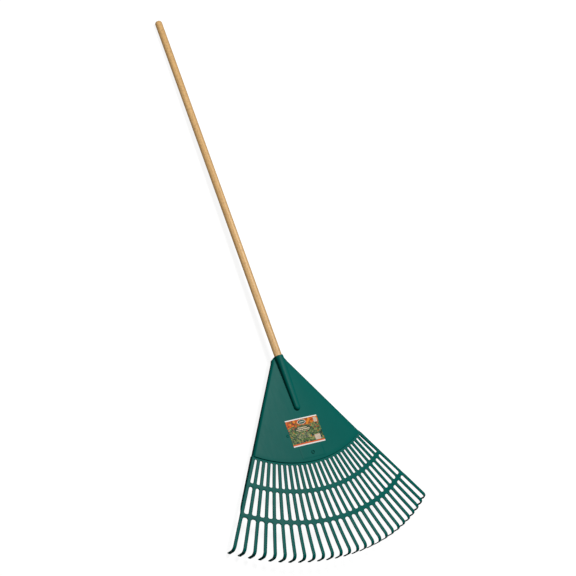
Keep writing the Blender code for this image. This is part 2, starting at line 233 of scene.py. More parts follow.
def finish_mesh(name, bm, material, smooth_angle=40.0, place=TO_ROW):
    bmesh.ops.recalc_face_normals(bm, faces=bm.faces)
    mesh = bpy.data.meshes.new(name)
    bm.to_mesh(mesh)
    bm.free()
    mesh.transform(place)
    mesh.shade_smooth()
    mesh.set_sharp_from_angle(angle=math.radians(smooth_angle))
    if material:
        mesh.materials.append(material)
    obj = bpy.data.objects.new(name, mesh)
    bpy.context.scene.collection.objects.link(obj)
    return obj


def cut(obj, cutter):
    """Subtracts cutter from obj and removes it."""
    modifier = obj.modifiers.new("cut", "BOOLEAN")
    modifier.operation = "DIFFERENCE"
    modifier.solver = "EXACT"
    modifier.object = cutter
    bpy.context.view_layer.update()
    graph = bpy.context.evaluated_depsgraph_get()
    mesh = bpy.data.meshes.new_from_object(obj.evaluated_get(graph))
    obj.modifiers.clear()
    obj.data = mesh
    bpy.data.objects.remove(cutter)


def merge(name, parts):
    """One object from several, which keeps the first one's material."""
    bm = bmesh.new()
    for part in parts:
        bm.from_mesh(part.data)
    mesh = parts[0].data.copy()
    bm.to_mesh(mesh)
    bm.free()
    mesh.name = name
    for part in parts:
        bpy.data.objects.remove(part)
    obj = bpy.data.objects.new(name, mesh)
    bpy.context.scene.collection.objects.link(obj)
    return obj


def turned(rings, segments, axis="Y"):
    """Closed turned solid about an axis, from (place along it, radius) rings."""
    bm = bmesh.new()
    loops = []
    for along, radius in rings:
        loop = []
        for step in range(segments):
            turn = math.tau * step / segments
            across = (radius * math.sin(turn), radius * math.cos(turn))
            point = (across[0], along, across[1]) if axis == "Y" else (across[0], across[1], along)
            loop.append(bm.verts.new(point))
        loops.append(loop)
    for first, second in zip(loops, loops[1:]):
        for step in range(segments):
            after = (step + 1) % segments
            bm.faces.new([first[step], first[after], second[after], second[step]])
    bm.faces.new(loops[0])
    bm.faces.new(loops[-1])
    return bm


def counter_clockwise(points, face):
    corners = [Vector(points[key]) for key in face]
    turn = sum(a.cross(b) for a, b in zip(corners, corners[1:] + corners[:1]))
    return list(face) if turn > 0.0 else list(reversed(face))


def wall_normals(points, faces, cuts):
    """The outline's edges apart from the cuts, and how far each of its points moves per metre of growth."""
    edges = set()
    for face in faces:
        for start, end in zip(face, face[1:] + face[:1]):
            if (end, start) in edges:
                edges.remove((end, start))
            else:
                edges.add((start, end))
    for chain in cuts:
        edges -= set(zip(chain, chain[1:])) | set(zip(chain[1:], chain))
    sides = {}
    for start, end in edges:
        along = Vector(points[end]) - Vector(points[start])
        normal = Vector((along.y, -along.x)).normalized()
        sides.setdefault(start, []).append(normal)
        sides.setdefault(end, []).append(normal)
    moves = {}
    for key, normals in sides.items():
        if len(normals) == 1:
            moves[key] = normals[0]
        else:
            moves[key] = (normals[0] + normals[1]) / max(0.4, 1.0 + normals[0].dot(normals[1]))
    return sorted(edges), moves


def rounded_sheet(points, faces, top, bottom, rim, cuts=(), low_rim=LOW_RIM):
    """Closed bmesh of a sheet with rounded rims.

    points maps a key to (x, y). top and bottom are functions of x, y and the key. rim is the radius of the
    upper rim, as a number or a function of the key. cuts are stretches of the outline that stay square,
    each a list of keys.
    """
    ordered = [counter_clockwise(points, face) for face in faces]
    edges, moves = wall_normals(points, ordered, cuts)
    bm = bmesh.new()
    high = {}
    low = {}
    walls = {}
    steps = 4
    for key, (x, y) in points.items():
        if key not in moves:
            high[key] = bm.verts.new((x, y, top(x, y, key)))
            low[key] = bm.verts.new((x, y, bottom(x, y, key)))
            continue
        out = moves[key]
        wall = []
        radius = rim(key) if callable(rim) else rim
        for step in range(steps + 1):
            turn = 0.5 * math.pi * step / steps
            inset = radius * (1.0 - math.sin(turn))
            px, py = x - inset * out.x, y - inset * out.y
            wall.append(bm.verts.new((px, py, top(px, py, key) - radius * (1.0 - math.cos(turn)))))
        for step in range(steps, -1, -2):
            turn = 0.5 * math.pi * step / steps
            inset = low_rim * (1.0 - math.sin(turn))
            px, py = x - inset * out.x, y - inset * out.y
            wall.append(bm.verts.new((px, py, bottom(px, py, key) + low_rim * (1.0 - math.cos(turn)))))
        high[key] = wall[0]
        low[key] = wall[-1]
        walls[key] = wall
    for face in ordered:
        bm.faces.new([high[key] for key in face])
        bm.faces.new([low[key] for key in reversed(face)])
    for start, end in edges:
        for level in range(len(walls[start]) - 1):
            first, second = walls[start], walls[end]
            bm.faces.new([first[level], first[level + 1], second[level + 1], second[level]])
    for chain in cuts:
        around = [high[key] for key in chain] + walls[chain[-1]][1:-1]
        around += [low[key] for key in reversed(chain)] + list(reversed(walls[chain[0]][1:-1]))
        bm.faces.new(around)
    return bm


# Materials


class Nodes:
    """Short hand for building a material's node tree."""

    def __init__(self, name):
        self.material = bpy.data.materials.new(name)
        self.material.use_nodes = True
        self.tree = self.material.node_tree
        self.shader = self.tree.nodes["Principled BSDF"]

    def add(self, kind, inputs=None, **settings):
        node = self.tree.nodes.new(kind)
        for key, value in settings.items():
            setattr(node, key, value)
        for key, value in (inputs or {}).items():
            self.put(node.inputs[key], value)
        return node

    def put(self, socket, value):
        if isinstance(value, bpy.types.NodeSocket):
            self.tree.links.new(value, socket)
        else:
            socket.default_value = value

    def math(self, operation, a, b=0.0, c=0.0, clamp=False):
        node = self.add("ShaderNodeMath", {0: a, 1: b, 2: c}, operation=operation, use_clamp=clamp)
        return node.outputs[0]

    def mix(self, factor, a, b, blend="MIX"):
        node = self.add("ShaderNodeMix", data_type="RGBA", blend_type=blend)
        self.put(node.inputs["Factor"], factor)
        self.put(node.inputs[6], a)
        self.put(node.inputs[7], b)
        return node.outputs[2]

    def noise(self, vector, scale, detail=2.0, roughness=0.5, distortion=0.0):
        inputs = {"Vector": vector, "Scale": scale, "Detail": detail, "Roughness": roughness}
        inputs["Distortion"] = distortion
        return self.add("ShaderNodeTexNoise", inputs).outputs["Fac"]

    def range(self, value, low, high, to_low=0.0, to_high=1.0):
        inputs = {"Value": value, "From Min": low, "From Max": high, "To Min": to_low, "To Max": to_high}
        return self.add("ShaderNodeMapRange", inputs).outputs["Result"]

    def place(self, scale=(1.0, 1.0, 1.0), turn=(0.0, 0.0, 0.0)):
        """Object coordinates, scaled and turned."""
        source = self.add("ShaderNodeTexCoord").outputs["Object"]
        inputs = {"Vector": source, "Scale": scale, "Rotation": turn}
        return self.add("ShaderNodeMapping", inputs).outputs["Vector"]

    def bump(self, height, strength, distance):
        inputs = {"Height": height, "Strength": strength, "Distance": distance}
        self.put(self.shader.inputs["Normal"], self.add("ShaderNodeBump", inputs).outputs["Normal"])


def rgb(red, green, blue):
    return (red, green, blue, 1.0)


def plastic_material():
    """Moulded green polypropylene: slight flow marks in the colour, a fine matt grain, worn lighter edges."""
    m = Nodes("green_polypropylene")
    place = m.place()
    flow = m.noise(m.place(scale=(9.0, 3.0, 9.0)), 1.0, detail=3.0, distortion=0.6)
    fine = m.noise(place, 60.0, detail=3.0)
    color = m.mix(m.range(flow, 0.35, 0.65), rgb(0.0003, 0.110, 0.092), rgb(0.0005, 0.116, 0.097))
    color = m.mix(m.range(fine, 0.45, 0.75, 0.0, 0.25), color, rgb(0.0010, 0.132, 0.112))
    edge = m.add("ShaderNodeBevel", {"Radius": 0.0011}, samples=4).outputs["Normal"]
    normal = m.add("ShaderNodeNewGeometry").outputs["Normal"]
    bend = m.add("ShaderNodeVectorMath", {0: edge, 1: normal}, operation="DOT_PRODUCT").outputs["Value"]
    worn = m.math("MULTIPLY", m.range(bend, 0.985, 0.80), m.range(fine, 0.4, 0.7, 0.1, 0.45))
    color = m.mix(worn, color, rgb(0.004, 0.145, 0.124))
    m.put(m.shader.inputs["Base Color"], color)
    scuffs = m.noise(m.place(scale=(140.0, 22.0, 140.0)), 1.0, detail=4.0)
    m.put(m.shader.inputs["Roughness"], m.range(scuffs, 0.3, 0.7, 0.37, 0.42))
    m.shader.inputs["Specular IOR Level"].default_value = 0.055
    grain = m.noise(place, 1500.0, detail=1.0)
    waves = m.noise(m.place(scale=(14.0, 14.0, 14.0)), 1.0, detail=1.0)
    height = m.math("ADD", m.math("MULTIPLY", grain, 0.00003), m.math("MULTIPLY", waves, 0.0003))
    m.bump(height, 0.5, 1.0)
    return m.material


def wood_material():
    """Turned hardwood: long straight grain with fine pores, paler and darker streaks, and clear lacquer."""
    m = Nodes("lacquered_hardwood")
    streaks = m.noise(m.place(scale=(90.0, 1.4, 90.0)), 1.0, detail=4.0, distortion=0.25)
    broad = m.noise(m.place(scale=(22.0, 0.9, 22.0)), 1.0, detail=2.0)
    pores = m.noise(m.place(scale=(700.0, 14.0, 700.0)), 1.0, detail=2.0)
    spots = m.noise(m.place(scale=(30.0, 9.0, 30.0)), 1.0, detail=3.0)
    color = m.mix(m.range(streaks, 0.32, 0.68), rgb(0.530, 0.310, 0.112), rgb(0.680, 0.435, 0.190))
    color = m.mix(m.range(broad, 0.35, 0.65, 0.0, 0.45), color, rgb(0.620, 0.365, 0.140))
    color = m.mix(m.range(pores, 0.58, 0.72, 0.0, 0.55), color, rgb(0.360, 0.200, 0.080))
    color = m.mix(m.range(spots, 0.62, 0.78, 0.0, 0.35), color, rgb(0.430, 0.250, 0.100))
    flecks = m.noise(m.place(scale=(420.0, 150.0, 420.0)), 1.0, detail=2.0)
    color = m.mix(m.range(flecks, 0.48, 0.64, 0.0, 0.50), color, rgb(0.330, 0.190, 0.075))
    m.put(m.shader.inputs["Base Color"], color)
    m.put(m.shader.inputs["Roughness"], m.range(pores, 0.4, 0.7, 0.42, 0.60))
    m.shader.inputs["Specular IOR Level"].default_value = 0.35
    m.shader.inputs["Coat Weight"].default_value = 0.15
    m.shader.inputs["Coat Roughness"].default_value = 0.35
    height = m.math("SUBTRACT", m.math("MULTIPLY", streaks, 0.00006), m.math("MULTIPLY", pores, 0.00004))
    m.bump(height, 0.6, 1.0)
    return m.material


def steel_material():
    m = Nodes("zinc_plated_steel")
    place = m.place()
    spangle = m.noise(place, 900.0, detail=2.0)
    color = m.mix(spangle, rgb(0.50, 0.50, 0.48), rgb(0.70, 0.70, 0.67))
    m.put(m.shader.inputs["Base Color"], color)
    m.put(m.shader.inputs["Roughness"], m.range(spangle, 0.3, 0.7, 0.28, 0.42))
    m.shader.inputs["Metallic"].default_value = 1.0
    m.bump(m.noise(place, 2500.0), 0.2, 0.00005)
    return m.material


def label_material():
    """Printed film: a band of orange flowers over green leaves, with plain blocks and no lettering."""
    m = Nodes("printed_label")
    uv = m.add("ShaderNodeUVMap", uv_map="print").outputs["UV"]
    parts = m.add("ShaderNodeSeparateXYZ", {0: uv})
    u, v = parts.outputs["X"], parts.outputs["Y"]
    ratio = LABEL_LENGTH / LABEL_WIDTH
    print_place = m.add("ShaderNodeMapping", {"Vector": uv, "Scale": (1.0, ratio, 1.0)}).outputs["Vector"]
    wobble = m.noise(print_place, 9.0, detail=3.0)

    def voronoi(scale, feature="F1"):
        return m.add("ShaderNodeTexVoronoi", {"Vector": print_place, "Scale": scale}, feature=feature)

    def inside(value, low, high, soft=0.006):
        rise = m.range(value, low - soft, low + soft)
        return m.math("MULTIPLY", rise, m.range(value, high + soft, high - soft))

    def block(u0, u1, v0, v1, soft=0.006):
        return m.math("MULTIPLY", inside(u, u0, u1, soft), inside(v, v0, v1, soft))

    leaf = voronoi(34.0)
    shade = m.range(leaf.outputs["Distance"], 0.15, 0.75)
    leaves = m.mix(shade, rgb(0.170, 0.280, 0.060), rgb(0.006, 0.040, 0.018))
    tint = m.add("ShaderNodeSeparateColor", {0: leaf.outputs["Color"]})
    leaves = m.mix(m.range(tint.outputs[0], 0.62, 0.7, 0.0, 0.75), leaves, rgb(0.330, 0.340, 0.120))
    leaves = m.mix(m.range(tint.outputs[1], 0.72, 0.78, 0.0, 0.8), leaves, rgb(0.012, 0.030, 0.045))
    leaves = m.mix(m.range(tint.outputs[2], 0.95, 0.97, 0.0, 0.8), leaves, rgb(0.620, 0.120, 0.020))
    petal = voronoi(15.0)
    shade = m.range(petal.outputs["Distance"], 0.1, 0.8)
    flowers = m.mix(shade, rgb(0.840, 0.170, 0.008), rgb(0.230, 0.012, 0.004))
    hue = m.add("ShaderNodeSeparateColor", {0: petal.outputs["Color"]})
    flowers = m.mix(m.range(hue.outputs[0], 0.55, 0.65, 0.0, 0.8), flowers, rgb(0.880, 0.290, 0.018))
    flowers = m.mix(m.range(hue.outputs[1], 0.78, 0.84, 0.0, 0.7), flowers, rgb(0.080, 0.120, 0.020))
    split = m.math("ADD", v, m.math("MULTIPLY", m.math("SUBTRACT", wobble, 0.5), 0.22))
    split = m.math("ADD", split, m.math("MULTIPLY", m.range(u, 0.0, 0.35, 1.0, 0.0), 0.06))
    color = m.mix(m.range(split, 0.735, 0.75), leaves, flowers)
    ragged = m.noise(print_place, 70.0, detail=1.0)
    backing = m.math("MULTIPLY", block(0.20, 0.68, 0.545, 0.690, 0.03), 0.75)
    color = m.mix(backing, color, rgb(0.010, 0.035, 0.025))
    bars = ((0.625, 0.665, 0.30, 0.58), (0.560, 0.600, 0.24, 0.66), (0.515, 0.530, 0.28, 0.62))
    for v0, v1, u0, u1 in bars:
        bar = m.math("MULTIPLY", block(u0, u1, v0, v1), m.range(ragged, 0.42, 0.50))
        color = m.mix(bar, color, rgb(0.860, 0.690, 0.460))
    for step in range(4):
        v0 = 0.425 - 0.055 * step
        row = m.math("MULTIPLY", block(0.20, 0.60, v0, v0 + 0.018), m.range(ragged, 0.47, 0.55))
        color = m.mix(m.math("MULTIPLY", row, 0.7), color, rgb(0.720, 0.600, 0.400))
    cream = m.mix(m.range(ragged, 0.50, 0.56, 0.0, 0.8), rgb(0.740, 0.640, 0.500), rgb(0.300, 0.170, 0.090))
    color = m.mix(block(0.855, 0.965, 0.755, 0.925), color, cream)
    color = m.mix(block(0.725, 0.905, 0.105, 0.300), color, cream)
    offset = m.add("ShaderNodeVectorMath", {0: uv, 1: (0.475, 0.850, 0.0)}, operation="SUBTRACT").outputs[0]
    squash = {0: offset, 1: (1.0, 1.55, 0.0)}
    stretched = m.add("ShaderNodeVectorMath", squash, operation="MULTIPLY").outputs[0]
    oval = m.add("ShaderNodeVectorMath", {0: stretched}, operation="LENGTH").outputs["Value"]
    color = m.mix(m.range(oval, 0.136, 0.126), color, rgb(0.780, 0.720, 0.560))
    color = m.mix(m.range(oval, 0.118, 0.108), color, rgb(0.012, 0.075, 0.055))
    bar = m.math("MULTIPLY", block(0.405, 0.545, 0.838, 0.866), m.range(oval, 0.105, 0.100))
    color = m.mix(bar, color, rgb(0.620, 0.640, 0.520))
    color = m.mix(m.range(v, 0.092, 0.086), color, rgb(0.780, 0.110, 0.020))
    white = rgb(0.860, 0.860, 0.830)
    color = m.mix(m.range(v, 0.046, 0.040), color, white)
    color = m.mix(m.range(v, 0.958, 0.964), color, white)
    m.put(m.shader.inputs["Base Color"], color)
    m.shader.inputs["Roughness"].default_value = 0.42
    m.shader.inputs["Specular IOR Level"].default_value = 0.10
    m.bump(m.noise(print_place, 14.0), 0.3, 0.0008)
    return m.material


# Panel and socket


def edge_angle_at(radius):
    """Angle of the panel's straight side where it crosses a circle about the apex."""
    square = 1.0 + EDGE_SLOPE**2
    y = (math.sqrt(radius**2 * square - EDGE_OFFSET**2) - EDGE_OFFSET * EDGE_SLOPE) / square
    return math.atan2(EDGE_OFFSET + EDGE_SLOPE * y, y)


def side_inset(x, y):
    """Distance in from the panel's side edge."""
    if -y < SHOULDER_Y:
        return SHOULDER_HALF - abs(x)
    start = Vector((SHOULDER_HALF, SHOULDER_Y))
    turn = edge_angle_at(PANEL_FIRST_RADIUS)
    corner = PANEL_FIRST_RADIUS * Vector((math.sin(turn), math.cos(turn)))
    if -y < corner.y:
        share = (-y - start.y) / (corner.y - start.y)
        return start.x + (corner.x - start.x) * share - abs(x)
    return (EDGE_OFFSET - EDGE_SLOPE * y - abs(x)) / math.hypot(1.0, EDGE_SLOPE)


def socket_radius(y):
    along = (y - MOUTH_Y) / (SOCKET_END_Y - SOCKET_END_RADIUS - MOUTH_Y)
    return MOUTH_RADIUS + (SOCKET_END_RADIUS - MOUTH_RADIUS) * min(1.0, along)


def socket_height(x, y):
    """Height of the socket's back over the handle's axis. It dives steeply outside the socket."""
    nose = max(0.0, -y - (SOCKET_END_Y - SOCKET_END_RADIUS))
    radius = socket_radius(-y)
    share = math.hypot(x, nose) / radius
    power = MOUTH_POWER + (SOCKET_POWER - MOUTH_POWER) * min(1.0, max(0.0, -y - MOUTH_Y) / MOUTH_BLEND)
    last = 0.985
    height = (1.0 - min(share, last) ** power) ** (1.0 / power)
    if share > last:
        height -= (share - last) * (last / height) ** (power - 1.0)
    return radius * height


def smooth_max(a, b, width):
    overlap = max(0.0, width - abs(a - b)) / width
    return max(a, b) + 0.25 * width * overlap**2


def panel_top(x, y, key=None):
    rolled = min(1.0, max(0.0, 1.0 - side_inset(x, y) / ROLL_WIDTH))
    flat = height_at(x, y) + PANEL_THICK - ROLL_DROP * rolled**2
    return smooth_max(flat, socket_height(x, y), SOCKET_FILLET)


def panel_bottom(x, y, key=None):
    if key and key[2]:
        return height_at(x, y) + PANEL_THICK - flange_depth(math.hypot(x, y))
    rolled = min(1.0, max(0.0, 1.0 - side_inset(x, y) / ROLL_WIDTH))
    flat = height_at(x, y) - ROLL_DROP * rolled**2
    return -smooth_max(-flat, socket_height(x, y), SOCKET_FILLET)


def panel_rows():
    """Radii of the panel's rows of points, close together round the socket's nose."""
    radii = [PANEL_FIRST_RADIUS, 0.052, 0.066, 0.080, 0.096, 0.112, 0.128, 0.144, 0.158]
    nose = SOCKET_END_Y - SOCKET_END_RADIUS
    for share in (-0.1, 0.2, 0.45, 0.62, 0.76, 0.86, 0.93, 0.98, 1.03, 1.09, 1.18, 1.32, 1.6):
        radii.append(nose + SOCKET_END_RADIUS * share)
    return radii + spread(0.196, STEP_RADIUS, 10)


def panel_columns(radius):
    """Places across one row over the socket and its fillet, as shares of the socket's radius."""
    socket = socket_radius(radius)
    shares = [0.0, 0.2, 0.38, 0.54, 0.68, 0.79, 0.87, 0.925, 0.96, 0.985, 1.01, 1.05, 1.12, 1.22]
    return [share * socket for share in shares]


def make_panel(material):
    """The panel with its socket: rows of points across it, from the mouth to the arc step."""
    side_insets = [ROLL_WIDTH, 0.0048, 0.0035, FLANGE_FOOT, FLANGE_THICK, 0.0]
    middle_steps = 8
    rows = []
    for radius in [None] + panel_rows():
        start = MOUTH_Y if radius is None else radius
        half = SHOULDER_HALF if radius is None else radius * edge_angle_at(radius)
        near = panel_columns(start)
        middle = spread(near[-1], half - ROLL_WIDTH, middle_steps)[1:-1]
        across = near + middle + [half - inset for inset in side_insets]
        row = []
        for place in across:
            if radius is None:
                slope = max(0.0, place - MOUTH_RADIUS) / (SHOULDER_HALF - MOUTH_RADIUS)
                row.append(Vector((place, -MOUTH_Y - (SHOULDER_Y - MOUTH_Y) * slope)))
            else:
                row.append(Vector(fan_point(radius, place / radius)))
        rows.append(row)
    blended = [rows[0]]
    for share in (0.25, 0.5, 0.75):
        blended.append([a.lerp(b, share) for a, b in zip(rows[0], rows[1])])
    rows = blended + rows[1:]
    last = len(rows[0]) - 1
    points = {}
    for row, places in enumerate(rows):
        for column, place in enumerate(places):
            deep = column > last - 2
            points[row, column, deep] = (place.x, place.y)
            if column:
                points[row, -column, deep] = (-place.x, place.y)
    faces = []
    for row in range(len(rows) - 1):
        for column in range(-last, last):
            corners = [(row, column), (row + 1, column), (row + 1, column + 1), (row, column + 1)]
            faces.append([(at, place, abs(place) > last - 2) for at, place in corners])

    def rim(key):
        if abs(key[1]) == last:
            return FLANGE_RIM
        return PANEL_RIM if key[0] else MOUTH_RIM

    panel = finish_mesh("panel", rounded_sheet(points, faces, panel_top, panel_bottom, rim), material, 35.0)
    cut(panel, bore_cutter())
    cut(panel, screw_cutter())
    return panel


def bore_cutter():
    inner = -MOUTH_Y - HANDLE_INSERTED
    rings = [(inner - GAP, HANDLE_END_RADIUS), (-MOUTH_Y - TAPER_START, HANDLE_RADIUS + GAP)]
    rings.append((-MOUTH_Y + TAPER_START, HANDLE_RADIUS + GAP))
    return finish_mesh("bore", turned(rings, 64), None)


def screw_cutter():
    seat = -socket_radius(SCREW_Y)
    rings = [(seat - 0.004, SCREW_RADIUS + GAP), (0.0, SCREW_RADIUS + GAP)]
    bm = turned(rings, 24, "Z")
    bmesh.ops.translate(bm, vec=(0.0, -SCREW_Y, 0.0), verts=bm.verts)
    return finish_mesh("screw_hole", bm, None)


def make_marks(material):
    """Traces of the mould on the panel: the gate's ring and nub, an ejector's ring and a raised plain pad."""
    parts = []
    for x, y, radius, height in RING_MARKS:
        rings = [(-0.001, radius), (0.4 * height, radius), (height, 0.92 * radius), (height, 0.74 * radius)]
        rings += [(0.2 * height, 0.62 * radius), (0.2 * height, 0.25 * radius), (0.9 * height, 0.12 * radius)]
        bm = turned(rings, 32, "Z")
        bmesh.ops.translate(bm, vec=(x, -y, panel_top(x, -y)), verts=bm.verts)
        parts.append(finish_mesh("mark", bm, material, 60.0))
    points = {}
    columns = spread(-PAD_HALF_WIDTH, PAD_HALF_WIDTH, 12)
    rows = spread(-PAD_START, -PAD_END, 6)
    for row, y in enumerate(rows):
        for column, x in enumerate(columns):
            points[row, column] = (x, y)
    faces = grid_faces(len(rows), len(columns))

    def pad_top(x, y, key):
        return panel_top(x, y) + PAD_RAISE

    def pad_bottom(x, y, key):
        return panel_top(x, y) - 0.001

    sheet = rounded_sheet(points, faces, pad_top, pad_bottom, 0.0003, low_rim=0.0002)
    parts.append(finish_mesh("pad", sheet, material))
    return parts


def grid_faces(rows, columns):
    faces = []
    for row in range(rows - 1):
        for column in range(columns - 1):
            faces.append([(row, column), (row + 1, column), (row + 1, column + 1), (row, column + 1)])
    return faces


# Ribs and crossbars


def slot_half_width(radius):
    return 0.5 * (radius * TINE_PITCH - TINE_WIDTH)


def web_radius(radius, rounding, across):
    """Radius of a crossbar's edge at a place across the gap, -1 to 1, where its corners are rounded."""
    depth = rounding * slot_half_width(radius)
    if rounding >= 1.0:
        return radius + depth * (1.0 - math.sqrt(max(0.0, 1.0 - across**2)))
    return radius + depth * abs(across) ** 4


def rib_columns(tine):
    """Places across a rib, -1 to 1, each with whether it is part of an outermost rib's flange."""
    wall = 1.0 - 2.0 * FLANGE_THICK / TINE_WIDTH
    foot = 1.0 - 2.0 * FLANGE_FOOT / TINE_WIDTH
    outer = [(1.0, True), (wall, True), (foot, False), (0.0, False), (-0.5, False), (-1.0, False)]
    if tine == 0:
        return [(-side, deep) for side, deep in outer]
    if tine == TINE_COUNT - 1:
        return list(reversed(outer))
    return [(side, False) for side in (-1.0, -0.5, 0.0, 0.5, 1.0)]


def grid_layout():
    """Points and faces of the ribs and crossbars, as one flat sheet with its slots left open."""
    round_end = 0.6
    webs = [
        (STEP_RADIUS - STEP_LAP, 0.0, SLOT1_START, 1.0),
        (SLOT1_END, -round_end, SLOT2_START, 1.0),
        (SLOT2_END, -round_end, COMB_START, 0.75),
    ]
    stations = []
    spans = []
    web_steps = 4
    for start, start_round, end, end_round in webs:
        first = web_radius(start, start_round, 1.0)
        last = web_radius(end, end_round, 1.0) if end < COMB_START else COMB_START + COMB_ROUND
        if stations:
            stations += spread(stations[-1], first, 12)[1:-1]
        spans.append(len(stations))
        stations += spread(first, last, web_steps)
    points = {}
    depths = {}
    faces = []
    cuts = []
    for tine in range(TINE_COUNT):
        columns = rib_columns(tine)
        for row, radius in enumerate(stations):
            for column, (side, deep) in enumerate(columns):
                key = ("rib", tine, row, column)
                points[key] = fan_point(radius, tine_angle(tine) + side * 0.5 * TINE_WIDTH / radius)
                depths[key] = flange_depth(radius) if deep else TINE_THICK
        for row in range(len(stations) - 1):
            for column in range(len(columns) - 1):
                corners = [(row, column), (row + 1, column), (row + 1, column + 1), (row, column + 1)]
                faces.append([("rib", tine, *corner) for corner in corners])
        cuts.append([("rib", tine, len(stations) - 1, column) for column in range(len(columns))])
    gap_steps = 8
    for gap in range(TINE_COUNT - 1):
        middle = tine_angle(gap) + 0.5 * TINE_PITCH
        for base, (start, start_round, end, end_round) in zip(spans, webs):
            strips = []
            for step in range(gap_steps + 1):
                if step in (0, gap_steps):
                    tine, column = (gap, len(rib_columns(gap)) - 1) if step == 0 else (gap + 1, 0)
                    strips.append([("rib", tine, base + row, column) for row in range(web_steps + 1)])
                    continue
                across = math.sin(0.5 * math.pi * (2.0 * step / gap_steps - 1.0))
                low = web_radius(start, start_round, across)
                high = web_radius(end, end_round, across)
                strip = []
                for row, radius in enumerate(spread(low, high, web_steps)):
                    key = ("web", gap, base + row, step)
                    points[key] = fan_point(radius, middle + across * slot_half_width(radius) / radius)
                    depths[key] = TINE_THICK
                    strip.append(key)
                strips.append(strip)
            for first, second in zip(strips, strips[1:]):
                for row in range(web_steps):
                    faces.append([first[row], first[row + 1], second[row + 1], second[row]])
    return points, depths, faces, cuts


def make_grid(material):
    """The ribs and crossbars, crowned towards their middles, with a groove along the arc step."""
    points, depths, faces, cuts = grid_layout()
    edges, _ = wall_normals(points, [counter_clockwise(points, face) for face in faces], cuts)
    outline = {key for edge in edges for key in edge}
    tree = kdtree.KDTree(len(outline))
    for index, key in enumerate(sorted(outline)):
        tree.insert((*points[key], 0.0), index)
    tree.balance()

    def top(x, y, key):
        if key in outline:
            away = math.hypot(x - points[key][0], y - points[key][1])
        else:
            away = tree.find((x, y, 0.0))[2]
        crowned = CROWN * max(0.0, 1.0 - away / CROWN_WIDTH) ** 2
        from_step = abs(math.hypot(x, y) - STEP_RADIUS) / STEP_GROOVE_WIDTH
        groove = STEP_GROOVE * max(0.0, 1.0 - from_step) ** 0.5
        return height_at(x, y) + 0.5 * TINE_THICK - crowned - groove

    def bottom(x, y, key):
        return height_at(x, y) + 0.5 * TINE_THICK - depths[key]

    return finish_mesh("ribs", rounded_sheet(points, faces, top, bottom, RIM, cuts), material, 35.0)


# Free tines


def tine_path(angle):
    """Centre line of a free tine from where it leaves the crossbar: (radius, height, direction)."""
    start = COMB_START + COMB_ROUND
    path = []
    for radius in spread(start, BEND_RADIUS, 14):
        reach = 0.0005
        slope = (fan_height(radius + reach, angle) - fan_height(radius - reach, angle)) / (2.0 * reach)
        path.append((radius, fan_height(radius, angle), math.atan(slope)))
    out, height, lean = path[-1]
    centre_out = out + TINE_BEND * math.sin(lean)
    centre_height = height - TINE_BEND * math.cos(lean)
    for turn in spread(lean, -0.5 * math.pi, 12)[1:]:
        x = centre_out - TINE_BEND * math.sin(turn)
        path.append((x, centre_height + TINE_BEND * math.cos(turn), turn))
    out, bend_end, lean = path[-1]
    tip = height - TINE_DROP
    path += [(out, level, lean) for level in spread(bend_end, tip, 6)[1:]]
    return path


def tine_section(width, thick, rim, crown):
    """Outline of a tine's section, (across, up), with a crowned top and rounded corners."""
    half = 0.5 * width
    steps = 4
    upper = []
    for across in (-0.5, 0.0, 0.5):
        away = half * (1.0 - abs(across))
        upper.append((across * half, 0.5 * thick - crown * max(0.0, 1.0 - away / CROWN_WIDTH) ** 2))
    corner = []
    for step in range(steps + 1):
        turn = 0.5 * math.pi * step / steps
        inset = rim * (1.0 - math.sin(turn))
        drop = crown * max(0.0, 1.0 - inset / CROWN_WIDTH) ** 2
        corner.append((half - inset, 0.5 * thick - drop - rim * (1.0 - math.cos(turn))))
    for step in range(steps, -1, -2):
        turn = 0.5 * math.pi * step / steps
        inset = LOW_RIM * (1.0 - math.sin(turn))
        corner.append((half - inset, -0.5 * thick + LOW_RIM * (1.0 - math.cos(turn))))
    right = upper[1:] + corner
    left = [(-across, up) for across, up in reversed(corner)] + upper[:1]
    return right + [(0.0, -0.5 * thick)] + left


def make_tine(index, material):
    """One free tine. Its root is buried in the crossbar."""
    angle = tine_angle(index)
    path = tine_path(angle)
    radial = Vector((math.sin(angle), -math.cos(angle), 0.0))
    lateral = Vector((math.cos(angle), math.sin(angle), 0.0))
    bm = bmesh.new()
    loops = []
    first_out, first_height, first_lean = path[0]
    stations = []
    for depth, size in TINE_ROOT:
        out = first_out - depth
        stations.append((out, first_height - (first_out - out) * math.tan(first_lean), first_lean, size))
    stations += [(out, height, lean, 1.0) for out, height, lean in path]
    tilt = math.atan2(TO_ROW[2][1], TO_ROW[1][1])
    for step, (out, height, lean, size) in enumerate(stations):
        share = max(0.0, (step - len(TINE_ROOT)) / (len(path) - 1))
        thick = TINE_THICK + (TIP_THICK - TINE_THICK) * share
        width = SPRING_WIDTH + (TIP_WIDTH - SPRING_WIDTH) * share
        up = Vector((0.0, 0.0, 1.0)) * math.cos(lean) - radial * math.sin(lean)
        centre = radial * out + Vector((0.0, 0.0, height))
        loop = []
        for across, above in tine_section(width, thick, RIM, CROWN):
            point = centre + lateral * across * size + up * above * size
            if step == len(stations) - 1:
                point.z -= (point - centre).y * math.tan(tilt)
            loop.append(bm.verts.new(point))
        loops.append(loop)
    count = len(loops[0])
    for before, after in zip(loops, loops[1:]):
        for corner in range(count):
            following = (corner + 1) % count
            bm.faces.new([before[corner], before[following], after[following], after[corner]])
    bm.faces.new(loops[0])
    bm.faces.new(loops[-1])
    name = f"spring_tine_{index + 1:02d}"
    tine = finish_mesh(name, bm, material, 50.0)
    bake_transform(tine)
    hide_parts(f"tine_{index + 1:02d}")
    return tine


# Handle, screw and label


